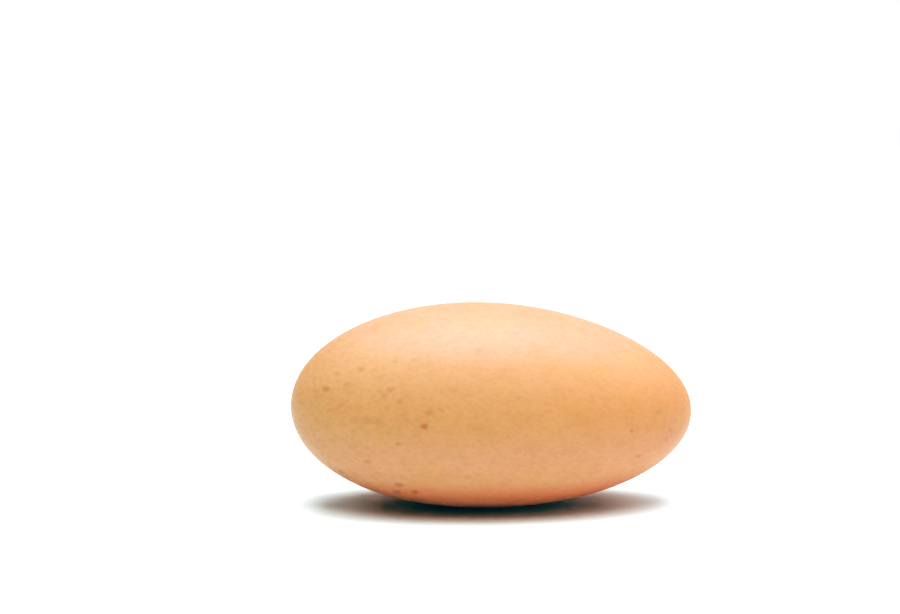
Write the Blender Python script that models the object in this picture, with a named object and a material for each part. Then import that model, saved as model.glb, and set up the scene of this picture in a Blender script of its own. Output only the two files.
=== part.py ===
"""A long brown hen's egg in its shell, lying on its side as it comes to rest by itself.

The shell is whole and can't be seen into, so the egg is one solid. Sizes are in metres and +Z is up.
The origin is the middle of the small flat spot that the egg rests on. The pointed end lies towards +X,
and dips a little, as on any egg that lies free on a table.
"""

import math

import bmesh
import bpy
from mathutils import Matrix, Vector

# Driving dimensions
LENGTH = 0.0753  # from the blunt end to the pointed end
BREADTH = 0.0385  # across the girth, halfway along
TAPER = 0.063  # share by which the girth grows towards the blunt end and shrinks towards the pointed end
LOBE = 0.00023  # how far the shell stands out on top and in a belt low down, and falls short in a belt high up
FLAT_DEPTH = 0.00012  # how much the resting spot takes off the round underside

# Fineness and finish
SUBDIVISIONS = 5  # of the icosphere that is drawn out into the egg
SHARP_ANGLE = math.radians(30)  # edges steeper than this stay sharp, which are only the resting spot's
SHELL_COLOUR = (0.66, 0.33, 0.13, 1.0)
SHELL_ROUGHNESS = 0.5


def clear_scene():
    """Removes whatever the scene holds at the start."""
    for obj in list(bpy.data.objects):
        bpy.data.objects.remove(obj)


def shell_material():
    """Unglazed brown shell, with a soft sheen."""
    material = bpy.data.materials.new("shell")
    material.use_nodes = True
    surface = material.node_tree.nodes["Principled BSDF"]
    surface.inputs["Base Color"].default_value = SHELL_COLOUR
    surface.inputs["Roughness"].default_value = SHELL_ROUGHNESS
    surface.inputs["Metallic"].default_value = 0.0
    return material


def egg_point(direction):
    """The point of the shell that a unit vector from the egg's middle stands for, with the long axis along X."""
    girth_radius = BREADTH / 2 * (1 - TAPER * direction.x)
    ovoid = Vector((LENGTH / 2 * direction.x, girth_radius * direction.y, girth_radius * direction.z))
    return ovoid + LOBE * (4 * direction.z**3 - 3 * direction.z) * direction


def profile_radius(station):
    """Radius of the shell at a station along its axis, from -1 at the blunt end to 1 at the pointed end."""
    return BREADTH / 2 * (1 - TAPER * station) * math.sqrt(1 - station**2)


def radius_times_slope(station):
    """Radius times its change along the axis. A line square to the shell meets the axis this far on from the station."""
    taper_here = 1 - TAPER * station
    return -(BREADTH**2) / (2 * LENGTH) * taper_here * (station + TAPER - 2 * TAPER * station**2)


def balance_point():
    """Centre of mass along the axis, measured from halfway between the ends. The fuller half draws it back."""
    return -LENGTH / 2 * (2 * TAPER / 5) / (1 + TAPER**2 / 5)


def contact_station():
    """Station that touches the table: there the line square to the shell passes through the centre of mass."""
    low, high = -0.5, 0.5
    while high - low > 1e-9:
        middle = (low + high) / 2
        if LENGTH / 2 * middle + radius_times_slope(middle) > balance_point():
            high = middle
        else:
            low = middle
    return (low + high) / 2


def resting_place():
    """Matrix that lays the egg down: the contact point over the origin, sunk by the depth of the flat spot."""
    station = contact_station()
    radius = profile_radius(station)
    dip = math.atan(-radius_times_slope(station) / radius)
    turned = Matrix.Rotation(dip, 4, "Y")
    contact = turned @ Vector((LENGTH / 2 * station, 0, LOBE - radius))
    return Matrix.Translation((-contact.x, 0, -contact.z - FLAT_DEPTH)) @ turned


def egg_mesh():
    """Closed ovoid lying on its side, with the resting spot cut flat at the level of the table."""
    form = bmesh.new()
    bmesh.ops.create_icosphere(form, subdivisions=SUBDIVISIONS, radius=1.0)
    for vertex in form.verts:
        vertex.co = egg_point(vertex.co.normalized())
    bmesh.ops.transform(form, matrix=resting_place(), verts=form.verts)
    cut = bmesh.ops.bisect_plane(
        form,
        geom=[*form.verts, *form.edges, *form.faces],
        dist=1e-7,
        plane_co=(0, 0, 0),
        plane_no=(0, 0, -1),
        clear_outer=True,
    )
    rim = [item for item in cut["geom_cut"] if isinstance(item, bmesh.types.BMEdge)]
    bmesh.ops.edgeloop_fill(form, edges=rim)
    bmesh.ops.recalc_face_normals(form, faces=form.faces)
    mesh = bpy.data.meshes.new("egg")
    form.to_mesh(mesh)
    form.free()
    mesh.shade_smooth()
    mesh.set_sharp_from_angle(angle=SHARP_ANGLE)
    return mesh


def make_egg():
    """The egg, in place on the table at z = 0."""
    egg = bpy.data.objects.new("egg", egg_mesh())
    egg.data.materials.append(shell_material())
    bpy.context.scene.collection.objects.link(egg)
    return egg


clear_scene()
make_egg()
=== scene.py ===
"""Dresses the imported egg: a brown shell with low relief, mottling and speckles, in soft studio light.

Sizes are in metres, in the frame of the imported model: the egg lies along X with its blunt end towards -X.
"""

import math
import random

import bpy
import numpy as np
from mathutils import Matrix, Vector, noise
from mathutils.bvhtree import BVHTree

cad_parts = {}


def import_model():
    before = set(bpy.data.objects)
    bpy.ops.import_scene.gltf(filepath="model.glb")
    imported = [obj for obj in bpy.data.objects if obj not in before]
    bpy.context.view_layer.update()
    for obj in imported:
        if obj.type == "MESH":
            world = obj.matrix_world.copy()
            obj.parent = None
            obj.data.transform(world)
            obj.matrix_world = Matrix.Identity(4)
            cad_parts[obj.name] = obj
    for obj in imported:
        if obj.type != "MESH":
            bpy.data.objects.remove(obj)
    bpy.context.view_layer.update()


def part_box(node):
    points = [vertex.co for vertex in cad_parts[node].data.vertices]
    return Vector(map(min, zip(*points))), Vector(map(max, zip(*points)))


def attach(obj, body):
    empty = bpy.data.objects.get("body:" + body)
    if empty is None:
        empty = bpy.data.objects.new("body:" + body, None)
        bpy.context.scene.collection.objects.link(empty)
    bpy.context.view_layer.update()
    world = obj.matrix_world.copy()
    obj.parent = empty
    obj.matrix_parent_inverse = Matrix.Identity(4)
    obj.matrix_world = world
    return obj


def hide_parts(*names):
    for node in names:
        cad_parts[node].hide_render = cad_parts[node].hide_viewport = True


MM = 0.001
SEED = 11

# Photograph and camera
PHOTO_WIDTH = 900
PHOTO_HEIGHT = 614
FOCAL_PIXELS = 1820.0
SENSOR_WIDTH_MM = 36.0
CAMERA_DISTANCE = 0.342  # from the egg's middle
CAMERA_AZIMUTH = math.radians(-3.9)
CAMERA_ELEVATION = math.radians(10.0)
CAMERA_PAN = math.radians(1.332)  # the egg lies right of the picture's middle
CAMERA_PITCH = math.radians(3.055)  # and below it
CAMERA_NEAR = 0.01
CAMERA_FAR = 50.0

# Form of the shell, as in the solid
LENGTH = 0.0753
BREADTH = 0.0385
TAPER = 0.063
LOBE = 0.00023
DIP = math.radians(1.5)  # of the pointed end, as the egg rests
CELLS_ALONG = 172  # mesh cells over a quarter of the way round, along the egg
CELLS_ROUND = 108  # and across it

# Relief of the shell, all of it cut into the form
SWELL_SIZE = 9.0 * MM
SWELL_DEPTH = 0.05 * MM
GRAIN_SIZE = 1.5 * MM
GRAIN_DEPTH = 0.016 * MM
FINER_GRAIN = 0.6  # size and depth of a second grain, as a share of the first

# Speckles
STRETCH = 1.45  # they are this much longer along the egg than across it
DEPTH_SHARE = 0.4  # of a gap along the line of sight counts, so those low on the flank look tall enough
SPECKLE_MIDDLE = 0.2  # nearness up to which a speckle has its full strength
SPECKLE_RIM = 1.8  # and from which it is gone
SPECKLE_STRENGTH = 0.55
NO_SPECKLE = 4.0  # nearness of a place far from any speckle
RAGGED_SCALE = 2600
RAGGED = 0.5  # how far a speckle's rim wanders, as a share of its size

# Those that show in the photograph: place in it in pixels, length in millimetres, darkness
SPECKLES = {
    "dark one left of the middle": ((424.5, 426.5), 1.3, 1.05),
    "one near the blunt end": ((326, 389), 1.35, 0.85),
    "upper left": ((361, 369), 1.4, 0.5),
    "pair, upper": ((390, 390), 1.4, 0.48),
    "pair, lower": ((384, 396), 1.2, 0.42),
    "right of the pair": ((429, 413), 1.35, 0.42),
    "above the dark one": ((399, 401), 1.2, 0.44),
    "below the dark one": ((398, 444), 1.0, 0.65),
    "low left, faint": ((367, 462), 1.1, 0.6),
    "low left, near the edge": ((341, 472), 1.3, 0.8),
    "low cluster, top": ((399, 485), 1.4, 1.05),
    "low cluster, left": ((397, 492), 1.3, 1.05),
    "low cluster, right": ((415, 492), 1.35, 1.15),
    "blunt end, low": ((341, 405), 1.1, 0.36),
    "blunt end, outer": ((330, 410), 1.3, 0.26),
    "blunt end, upper": ((347, 384), 1.2, 0.35),
    "blunt end, inner": ((349, 393), 1.0, 0.3),
    "blunt end, top": ((337, 374), 1.2, 0.36),
    "beside the pair": ((379, 391), 1.1, 0.3),
    "under the pair": ((387, 408), 1.0, 0.24),
    "over the pair": ((394, 361), 1.1, 0.26),
    "right of the dark one": ((441, 410), 1.0, 0.32),
    "near the middle": ((471, 425), 0.9, 0.26),
    "streak, left": ((356, 421), 1.9, 0.24),
    "streak, middle": ((367, 421), 1.9, 0.26),
    "streak, right": ((378, 422), 1.8, 0.25),
    "right end, reddish": ((632, 431), 0.9, 0.5),
    "right end, outer": ((671, 430), 1.3, 0.33),
    "right end, small": ((638, 456), 0.9, 0.6),
    "right end, faint": ((657, 413), 1.4, 0.28),
}
REDDISH = {"dark one left of the middle", "right end, reddish"}

# Those over the back, the top and the underside, which are random
UNSEEN_SPECKLES = 64
UNSEEN_LENGTH = (0.8, 1.35)  # in millimetres
UNSEEN_DARKNESS = 0.25  # of the faintest
UNSEEN_DARKER = 0.6  # and how much darker the darkest is
FEW_DARK = 2.5  # the higher, the fewer of them are dark
KEPT_MIDWAY = 0.6  # share of them that stays midway along the egg
KEPT_CHANGE = 0.4  # how much that share grows to the blunt end and shrinks to the pointed one
OUT_OF_SIGHT = -0.02  # cosine between the shell's normal and the way to the camera, just past the outline
REDDISH_FROM = 0.7  # darkness from which they are reddish

# Studio lamps: large soft boxes far off, each with azimuth and elevation in degrees, size and share of power
LAMP_DISTANCE = 7.0
LAMP_POWER = 1120.0
LAMPS = {
    "top": (0, 90, 5.0, 0.648),
    "top_front": (0, 62, 3.0, 0.157),
    "top_left": (-90, 55, 5.0, 0.144),
    "top_right": (90, 55, 5.0, 0.236),
    "right": (90, 15, 5.0, 0.073),
    "back_right": (140, 20, 5.0, 0.014),
}
BACKDROP_IN_GLOSS = 0.5  # how strongly the shell's gloss reflects the white backdrop

# Floor
FLOOR_RADIUS = 2.0
FLOOR_SIDES = 96
FLOOR_COLOUR = (0.83, 0.955, 0.98, 1)  # cool, against the warm light that the egg throws on it

# Display, as (level, shown level): a little more contrast, and the deepest shadows turn blue-green
TONE_CURVE = ((0.0, 0.0), (0.051, 0.036), (0.214, 0.193), (0.522, 0.556), (1.0, 1.0))
RED_IN_SHADOW = ((0.047, 0.006), (0.089, 0.032), (0.145, 0.107), (0.27, 0.25), (0.4, 0.395))
SHADOW_CURVES = {
    "red": ((0.0, 0.0), *RED_IN_SHADOW, (1.0, 1.0)),
    "green": ((0.0, 0.006), (0.04, 0.038), (1.0, 1.0)),
    "blue": ((0.0, 0.012), (0.04, 0.04), (1.0, 1.0)),
}

# Colours of the shell, by height from 0 at the underside to 1 on top. Partly painted light: the deep orange
# of the underside and its turn is a painted glow of warm light bounced between shell and floor, and the paler
# high and top stops are a painted highlight where the top light falls
SHELL_COLOURS_WITH_PAINTED_LIGHT = {
    "underside": (0.04, (0.75, 0.278, 0.15, 1)),
    "turn of the underside": (0.11, (0.64, 0.217, 0.102, 1)),
    "low": (0.2, (0.574, 0.267, 0.122, 1)),
    "under the girth": (0.325, (0.583, 0.263, 0.129, 1)),
    "girth": (0.5, (0.573, 0.267, 0.105, 1)),
    "over the girth": (0.7, (0.567, 0.282, 0.136, 1)),
    "high": (0.86, (0.567, 0.293, 0.178, 1)),
    "top": (1.0, (0.6, 0.295, 0.175, 1)),
}
SPECKLE_COLOUR = (0.215, 0.078, 0.004, 1)
REDDISH_COLOUR = (0.33, 0.05, 0.004, 1)

# How they change along the shell, from 0 at the blunt end to 1 at the pointed one. Each tint multiplies them
# and comes in, or goes out, over a span. Several are painted light: painted shade at the blunt end and at
# both ends, painted warm light at the pointed end, and a painted sheen low on the flanks near the ends
# partly the shell's own tone, partly painted shade: the blunt end duller
BLUNT_TINT_AND_PAINTED_SHADE = (0.95, 1.02, 1.0, 1)
# partly the shell's own tone, partly painted light: the pointed end redder and brighter
POINTED_TINT_AND_PAINTED_LIGHT = (1.06, 0.97, 0.985, 1)
# painted shade: both ends of the shell darker
END_PAINTED_SHADE = (0.86, 0.83, 0.82, 1)
END_SHADE_POWER = 4.0  # the higher, the nearer to the very ends that painted shade stays
# painted sheen: a pale reflection of the bright floor, low on the flanks near both ends
LOW_FLANK_PAINTED_SHEEN = (1.04, 1.03, 1.14, 1)
PAINTED_SHEEN_FROM_MIDDLE = (0.35, 0.6)  # with 0 at the middle and 1 at either end
PAINTED_SHEEN_HEIGHT = (0.24, 0.36)
BLUNT_GIRTH_TINT = (1.04, 1.055, 1.08, 1)
BLUNT_GIRTH_HEIGHT = 0.53
BLUNT_GIRTH_OFF_HEIGHT = (0.08, 0.22)
BLUNT_GIRTH_ALONG = (0.12, 0.3)

# Mottling of the shell: scale and detail of the noise, whether it is stretched, its span, and its tint
MOTTLING = {
    "pinker clouds": (150, 2, True, (0.4, 0.7), (1.0, 0.975, 1.0, 1)),
    "yellower clouds": (210, 2, False, (0.45, 0.7), (0.985, 0.995, 0.93, 1)),
    "cloudiness": (500, 3, True, (0.4, 0.7), (0.962, 0.947, 0.91, 1)),
    "fine mottling": (1500, 2, True, (0.4, 0.75), (0.925, 0.92, 0.87, 1)),
}
NOISE_ROUGHNESS = 0.55
BLUNT_GRAIN_SCALE = 1300
BLUNT_GRAIN_SPAN = (0.4, 0.7)
BLUNT_GRAIN_ALONG = (0.0, 0.4)
BLUNT_GRAIN_TINT = (0.945, 0.945, 0.92, 1)

# Faint freckles, one in a cell: how far from its middle each fades out, and the share of cells without one
FRECKLE_SCALE = 650
FRECKLE_SPAN = (0.1, 0.5)
FRECKLE_STRENGTH = 0.09
FRECKLED_ALONG = (0.0, 0.65)
BARE_CELLS = (0.5, 1.0)

# Gloss and fine pitting of the shell
GLOSS_NOISE_SPAN = (0.3, 0.7)
ROUGHNESS = (0.42, 0.54)
SPECULAR_LEVEL = 0.25
SUBSURFACE_WEIGHT = 0.25
SUBSURFACE_RADIUS = (1.0, 0.3, 0.1)
SUBSURFACE_SCALE = 2 * MM
PITTING_SCALE = 1700
PITTING_STRENGTH = 0.25
PITTING_DEPTH = 0.03 * MM


def lattice_direction(step, size):
    """Unit vector of a point on a block of cells whose rows are spread at even angles."""
    return Vector([math.tan(math.pi / 4 * (2 * step[i] / size[i] - 1)) for i in range(3)]).normalized()


def shell_faces(size):
    """Quads over the six sides of a block of cells, each as four lattice points, facing out."""
    quads = []
    for axis in range(3):
        u, v = (axis + 1) % 3, (axis + 2) % 3
        for side in (0, size[axis]):
            for i in range(size[u]):
                for j in range(size[v]):
                    corners = []
                    for a, b in ((0, 0), (1, 0), (1, 1), (0, 1)):
                        point = [0, 0, 0]
                        point[axis], point[u], point[v] = side, i + a, j + b
                        corners.append(tuple(point))
                    quads.append(corners if side else corners[::-1])
    return quads


def egg_point(direction):
    """The point of the even shell that a unit vector from the egg's middle stands for."""
    girth_radius = BREADTH / 2 * (1 - TAPER * direction.x)
    ovoid = Vector((LENGTH / 2 * direction.x, girth_radius * direction.y, girth_radius * direction.z))
    return ovoid + LOBE * (4 * direction.z**3 - 3 * direction.z) * direction


def relief(point):
    """How deep the shell lies under the even form at a point: slow swells and a fine grain."""
    swell = 0.5 + 0.5 * noise.noise(point / SWELL_SIZE)
    grain = 0.5 + 0.5 * noise.noise(point / GRAIN_SIZE)
    finer = 0.5 + 0.5 * noise.noise(point / (FINER_GRAIN * GRAIN_SIZE))
    return SWELL_DEPTH * swell + GRAIN_DEPTH * (grain + FINER_GRAIN * finer)


def build_shell():
    """The shell's mesh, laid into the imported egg's place and flat where it touches the table."""
    size = (CELLS_ALONG, CELLS_ROUND, CELLS_ROUND)
    quads = shell_faces(size)
    index = {}
    points = []
    turn = Matrix.Rotation(DIP, 3, "Y")
    for quad in quads:
        for step in quad:
            if step not in index:
                index[step] = len(points)
                direction = lattice_direction(step, size)
                point = egg_point(direction)
                points.append(turn @ (point - relief(point) * direction))
    low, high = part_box("egg")
    middle_x = (low[0] + high[0]) / 2
    own_low = min(p.x for p in points)
    own_high = max(p.x for p in points)
    own_top = max(p.z for p in points)
    shift = Vector((middle_x - (own_low + own_high) / 2, 0, high[2] - own_top))
    for i, point in enumerate(points):
        point += shift
        point.z = max(point.z, 0.0)
        points[i] = point
    mesh = bpy.data.meshes.new("egg_shell")
    mesh.from_pydata(points, [], [[index[step] for step in quad] for quad in quads])
    mesh.validate()
    mesh.shade_smooth()
    shell = bpy.data.objects.new("egg_shell", mesh)
    bpy.context.scene.collection.objects.link(shell)
    return shell


def look_vector(azimuth, elevation):
    """Unit vector from the egg towards a viewer at these angles. Azimuth 0 looks along +Y."""
    return Vector(
        (
            math.sin(azimuth) * math.cos(elevation),
            -math.cos(azimuth) * math.cos(elevation),
            math.sin(elevation),
        )
    )


def add_camera():
    """Camera at the photograph's place."""
    data = bpy.data.cameras.new("camera")
    data.sensor_fit = "HORIZONTAL"
    data.sensor_width = SENSOR_WIDTH_MM
    data.lens = FOCAL_PIXELS / PHOTO_WIDTH * SENSOR_WIDTH_MM
    data.clip_start = CAMERA_NEAR
    data.clip_end = CAMERA_FAR
    camera = bpy.data.objects.new("camera", data)
    low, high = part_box("egg")
    middle = Vector(((low[0] + high[0]) / 2, 0, BREADTH / 2))
    back = look_vector(CAMERA_AZIMUTH + CAMERA_PAN, CAMERA_ELEVATION - CAMERA_PITCH)
    camera.location = middle + CAMERA_DISTANCE * look_vector(CAMERA_AZIMUTH, CAMERA_ELEVATION)
    camera.rotation_euler = back.to_track_quat("Z", "Y").to_euler()
    bpy.context.scene.collection.objects.link(camera)
    bpy.context.scene.camera = camera
    bpy.context.view_layer.update()
    return camera


def on_shell(tree, camera, pixel):
    """Point of the shell that a pixel of the photograph shows."""
    ray = Vector((pixel[0] - PHOTO_WIDTH / 2, PHOTO_HEIGHT / 2 - pixel[1], -FOCAL_PIXELS))
    hit = tree.ray_cast(camera.location, camera.matrix_world.to_3x3() @ ray)
    return hit[0]


def unseen_speckles(tree, camera, middle):
    """Random speckles like those in view, on the side away from the camera and most towards the blunt end."""
    draw = random.Random(SEED)
    found = []
    while len(found) < UNSEEN_SPECKLES:
        direction = Vector((draw.gauss(0, 1), draw.gauss(0, 1), draw.gauss(0, 1))).normalized()
        length = draw.uniform(*UNSEEN_LENGTH)
        dark = UNSEEN_DARKNESS + UNSEEN_DARKER * draw.random() ** FEW_DARK
        keep = draw.random() < KEPT_MIDWAY - KEPT_CHANGE * direction.x
        place, normal = tree.ray_cast(middle, direction)[:2]
        to_camera = (camera.location - place).normalized()
        if keep and normal.dot(to_camera) < OUT_OF_SIGHT:
            found.append((place, length, dark, dark > REDDISH_FROM))
    return found


def mark_speckles(shell, camera):
    """Stores at each vertex how near, how dark and how reddish its nearest speckle is.

    Nearness is 0 at a speckle's middle and 1 at its edge.
    """
    mesh = shell.data
    points = np.empty(len(mesh.vertices) * 3, dtype=np.float32)
    mesh.vertices.foreach_get("co", points)
    points = points.reshape(-1, 3)
    tree = BVHTree.FromPolygons([v.co for v in mesh.vertices], [p.vertices for p in mesh.polygons])
    nearness = np.full(len(points), NO_SPECKLE, dtype=np.float32)
    darkness = np.zeros(len(points), dtype=np.float32)
    redness = np.zeros(len(points), dtype=np.float32)
    middle = sum((Vector(corner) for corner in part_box("egg")), Vector()) / 2
    seen = [
        (on_shell(tree, camera, pixel), length, dark, name in REDDISH)
        for name, (pixel, length, dark) in SPECKLES.items()
    ]
    unseen = unseen_speckles(tree, camera, middle)
    to_view = np.array(camera.matrix_world.to_3x3().inverted())
    seen_axes = np.diag((1 / STRETCH, 1, DEPTH_SHARE)) @ to_view
    unseen_axes = np.diag((1 / STRETCH, 1, 1))
    for speckles, axes in ((seen, seen_axes), (unseen, unseen_axes)):
        for centre, length, dark, red in speckles:
            gap = (points - np.array(centre, dtype=np.float32)) @ axes.T.astype(np.float32)
            ratio = np.linalg.norm(gap, axis=1) / (length * MM / STRETCH / 2)
            nearer = ratio < nearness
            nearness[nearer] = ratio[nearer]
            darkness[nearer] = dark
            redness[nearer] = red
    for name, values in (("nearness", nearness), ("darkness", darkness), ("redness", redness)):
        layer = mesh.attributes.new("speckle_" + name, "FLOAT", "POINT")
        layer.data.foreach_set("value", values)


class Nodes:
    """Short way to write a material's node tree."""

    def __init__(self, material):
        material.use_nodes = True
        self.tree = material.node_tree
        self.tree.nodes.clear()

    def add(self, kind, settings=None, **inputs):
        """A node of that kind, with its settings, and its inputs set or linked by name."""
        node = self.tree.nodes.new("ShaderNode" + kind)
        for name, value in (settings or {}).items():
            setattr(node, name, value)
        for name, value in inputs.items():
            self.set(node, name.replace("_", " "), value)
        return node

    def set(self, node, name, value):
        """Sets an input, or links it to another node's output."""
        socket = node.inputs[int(name)] if name.isdigit() else node.inputs[name]
        if isinstance(value, bpy.types.NodeSocket):
            self.tree.links.new(value, socket)
        else:
            socket.default_value = value

    def maths(self, operation, *values):
        """A maths node's result."""
        node = self.tree.nodes.new("ShaderNodeMath")
        node.operation = operation
        for i, value in enumerate(values):
            self.set(node, str(i), value)
        return node.outputs[0]

    def span(self, value, source, target=(0.0, 1.0), smooth=True):
        """Maps a value from one span to another."""
        node = self.tree.nodes.new("ShaderNodeMapRange")
        node.interpolation_type = "SMOOTHSTEP" if smooth else "LINEAR"
        self.set(node, "Value", value)
        self.set(node, "From Min", source[0])
        self.set(node, "From Max", source[1])
        self.set(node, "To Min", target[0])
        self.set(node, "To Max", target[1])
        return node.outputs[0]

    def ramp(self, value, stops):
        """Colour along a row of (place, colour) stops, eased between them."""
        node = self.add("ValToRGB", Fac=value)
        node.color_ramp.interpolation = "EASE"
        steps = node.color_ramp.elements
        while len(steps) < len(stops):
            steps.new(0.5)
        for step, (place, colour) in zip(steps, stops):
            step.position = place
            step.color = colour
        return node.outputs["Color"]

    def tint(self, colour, share, tint):
        """A colour multiplied by a tint, by a share from 0 to 1."""
        return self.mix(share, colour, tint, "MULTIPLY")

    def mix(self, share, first, second, blend="MIX"):
        """Mixes two colours."""
        node = self.tree.nodes.new("ShaderNodeMix")
        node.data_type = "RGBA"
        node.blend_type = blend
        self.set(node, "0", share)
        self.set(node, "6", first)
        self.set(node, "7", second)
        return node.outputs[2]


def body_colour(n, along, height):
    """Colour of the bare shell, by height and along it, with painted light: a paler top as painted highlight,
    a painted warm glow underneath, painted shade at the blunt end and at both ends, and a painted sheen low
    on the flanks.
    """
    # painted light by height: a warm painted glow underneath and a paler top as painted highlight
    body = n.ramp(height, SHELL_COLOURS_WITH_PAINTED_LIGHT.values())
    # along the shell: painted shade at the blunt end, painted warm light at the pointed end
    body = n.tint(body, 1.0, n.mix(along, BLUNT_TINT_AND_PAINTED_SHADE, POINTED_TINT_AND_PAINTED_LIGHT))
    from_middle = n.maths("SUBTRACT", n.maths("MULTIPLY", along, 2.0), 1.0)
    off_middle = n.maths("ABSOLUTE", from_middle)
    # painted shade at both ends
    body = n.tint(body, n.maths("POWER", off_middle, END_SHADE_POWER), END_PAINTED_SHADE)
    # painted sheen low on the flanks near the ends
    sheen_towards_ends = n.span(off_middle, PAINTED_SHEEN_FROM_MIDDLE)
    low = n.span(height, PAINTED_SHEEN_HEIGHT, (1.0, 0.0))
    body = n.tint(body, n.maths("MULTIPLY", sheen_towards_ends, low), LOW_FLANK_PAINTED_SHEEN)
    off_girth = n.maths("ABSOLUTE", n.maths("SUBTRACT", height, BLUNT_GIRTH_HEIGHT))
    at_girth = n.span(off_girth, BLUNT_GIRTH_OFF_HEIGHT, (1.0, 0.0))
    at_blunt_end = n.span(along, BLUNT_GIRTH_ALONG, (1.0, 0.0))
    return n.tint(body, n.maths("MULTIPLY", at_blunt_end, at_girth), BLUNT_GIRTH_TINT)


def shell_material():
    """Unglazed brown eggshell, mottled, speckled and freckled, with painted light in its colour: richest
    round the middle, a paler top as painted highlight, a painted warm glow underneath, painted shade at the
    ends and a painted sheen low on the flanks.
    """
    material = bpy.data.materials.new("brown_eggshell")
    n = Nodes(material)
    place = n.add("TexCoord").outputs["Object"]
    stretched = n.add("Mapping", Vector=place, Scale=(1 / STRETCH, 1, 1)).outputs[0]

    def cloud(scale, detail=2, vector=stretched):
        texture = n.add("TexNoise", Vector=vector, Scale=scale, Detail=detail, Roughness=NOISE_ROUGHNESS)
        return texture.outputs["Fac"]

    split = n.add("SeparateXYZ", Vector=place)
    low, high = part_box("egg")
    along = n.span(split.outputs[0], (low[0], high[0]), smooth=False)
    height = n.span(split.outputs[2], (low[2], high[2]), smooth=False)
    body = body_colour(n, along, height)

    # Soft mottling, with some grain at the blunt end
    for scale, detail, drawn_out, span, colour in MOTTLING.values():
        pattern = cloud(scale, detail, stretched if drawn_out else place)
        body = n.tint(body, n.span(pattern, span), colour)
    grain = n.span(cloud(BLUNT_GRAIN_SCALE, vector=place), BLUNT_GRAIN_SPAN)
    grain = n.maths("MULTIPLY", grain, n.span(along, BLUNT_GRAIN_ALONG, (1.0, 0.0)))
    body = n.tint(body, grain, BLUNT_GRAIN_TINT)

    # Faint freckles, many at the blunt end and few at the pointed one
    cells = n.add("TexVoronoi", Vector=stretched, Scale=FRECKLE_SCALE)
    chance = n.add("SeparateColor", Color=cells.outputs["Color"]).outputs[0]
    present = n.maths("GREATER_THAN", chance, n.span(along, FRECKLED_ALONG, BARE_CELLS))
    freckle = n.span(cells.outputs["Distance"], FRECKLE_SPAN, (FRECKLE_STRENGTH, 0.0))
    body = n.mix(n.maths("MULTIPLY", freckle, present), body, SPECKLE_COLOUR)

    # Speckles
    nearness, darkness, redness = (
        n.add("Attribute", {"attribute_name": "speckle_" + name}).outputs["Fac"]
        for name in ("nearness", "darkness", "redness")
    )
    wander = n.span(cloud(RAGGED_SCALE), (0.0, 1.0), (-RAGGED, RAGGED), smooth=False)
    ragged = n.maths("ADD", nearness, wander)
    strength = n.span(ragged, (SPECKLE_MIDDLE, SPECKLE_RIM), (SPECKLE_STRENGTH, 0.0))
    colour = n.mix(redness, SPECKLE_COLOUR, REDDISH_COLOUR)
    body = n.mix(n.maths("MULTIPLY", strength, darkness), body, colour)

    # The last and finest of the mottling changes the gloss too
    roughness = n.span(pattern, GLOSS_NOISE_SPAN, ROUGHNESS)
    pitting = n.add("Bump", Strength=PITTING_STRENGTH, Distance=PITTING_DEPTH, Height=cloud(PITTING_SCALE, 3))
    surface = n.add("BsdfPrincipled", Base_Color=body, Roughness=roughness, Normal=pitting.outputs[0])
    surface.inputs["Specular IOR Level"].default_value = SPECULAR_LEVEL
    surface.inputs["Subsurface Weight"].default_value = SUBSURFACE_WEIGHT
    surface.inputs["Subsurface Radius"].default_value = SUBSURFACE_RADIUS
    surface.inputs["Subsurface Scale"].default_value = SUBSURFACE_SCALE
    n.add("OutputMaterial", Surface=surface.outputs[0])
    return material


def floor_material():
    """Plain white paper."""
    material = bpy.data.materials.new("white_floor")
    n = Nodes(material)
    surface = n.add("BsdfDiffuse", Color=FLOOR_COLOUR)
    n.add("OutputMaterial", Surface=surface.outputs[0])
    return material


def add_floor():
    """Wide round sheet of paper at z = 0."""
    turns = [2 * math.pi * i / FLOOR_SIDES for i in range(FLOOR_SIDES)]
    rim = [(FLOOR_RADIUS * math.cos(turn), FLOOR_RADIUS * math.sin(turn), 0) for turn in turns]
    mesh = bpy.data.meshes.new("floor")
    mesh.from_pydata(rim, [], [list(range(FLOOR_SIDES))])
    floor = bpy.data.objects.new("floor", mesh)
    floor.data.materials.append(floor_material())
    bpy.context.scene.collection.objects.link(floor)


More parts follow.
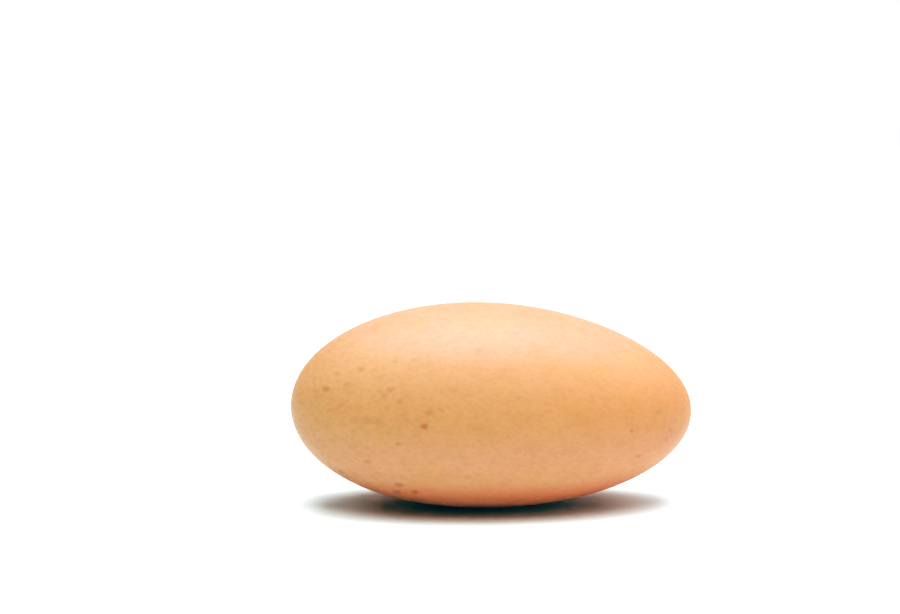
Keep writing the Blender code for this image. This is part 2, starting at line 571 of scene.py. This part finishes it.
def add_softbox(name, azimuth, elevation, size, power):
    """Square lamp that faces the egg from these angles, in degrees."""
    data = bpy.data.lights.new(name, "AREA")
    data.shape = "SQUARE"
    data.size = size
    data.energy = power
    lamp = bpy.data.objects.new(name, data)
    back = look_vector(math.radians(azimuth), math.radians(elevation))
    lamp.location = Vector((0, 0, BREADTH / 2)) + LAMP_DISTANCE * back
    lamp.rotation_euler = back.to_track_quat("Z", "Y").to_euler()
    bpy.context.scene.collection.objects.link(lamp)


def add_lamps():
    """The studio's soft boxes."""
    for name, (azimuth, elevation, size, share) in LAMPS.items():
        add_softbox(name, azimuth, elevation, size, share * LAMP_POWER)


def add_world():
    """White backdrop that the camera and the shell's gloss see. All other light comes from the lamps."""
    world = bpy.data.worlds.new("surroundings")
    world.use_nodes = True
    tree = world.node_tree
    background = tree.nodes["Background"]
    background.inputs["Color"].default_value = (1.0, 1.0, 1.0, 1.0)
    path = tree.nodes.new("ShaderNodeLightPath")
    strength = tree.nodes.new("ShaderNodeMath")
    strength.operation = "MULTIPLY_ADD"
    tree.links.new(path.outputs["Is Glossy Ray"], strength.inputs[0])
    strength.inputs[1].default_value = BACKDROP_IN_GLOSS
    tree.links.new(path.outputs["Is Camera Ray"], strength.inputs[2])
    tree.links.new(strength.outputs[0], background.inputs["Strength"])
    bpy.context.scene.world = world


def bend(curve, places, handles):
    """Gives a display curve its points and the kind of handles they have."""
    curve.points[0].location = places[0]
    curve.points[-1].location = places[-1]
    for level, shown in places[1:-1]:
        curve.points.new(level, shown)
    for point in curve.points:
        point.handle_type = handles


def set_tone():
    """Plain display of colours, with a little more contrast and cool shadows."""
    settings = bpy.context.scene.view_settings
    settings.view_transform = "Standard"
    settings.use_curve_mapping = True
    red, green, blue, combined = settings.curve_mapping.curves
    bend(combined, TONE_CURVE, "AUTO")
    for curve, name in ((red, "red"), (green, "green"), (blue, "blue")):
        bend(curve, SHADOW_CURVES[name], "VECTOR")
    settings.curve_mapping.update()


def main():
    """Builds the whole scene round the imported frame."""
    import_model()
    camera = add_camera()
    shell = build_shell()
    mark_speckles(shell, camera)
    shell.data.materials.append(shell_material())
    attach(shell, "root")
    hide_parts("egg")
    add_floor()
    add_world()
    add_lamps()
    set_tone()


main()
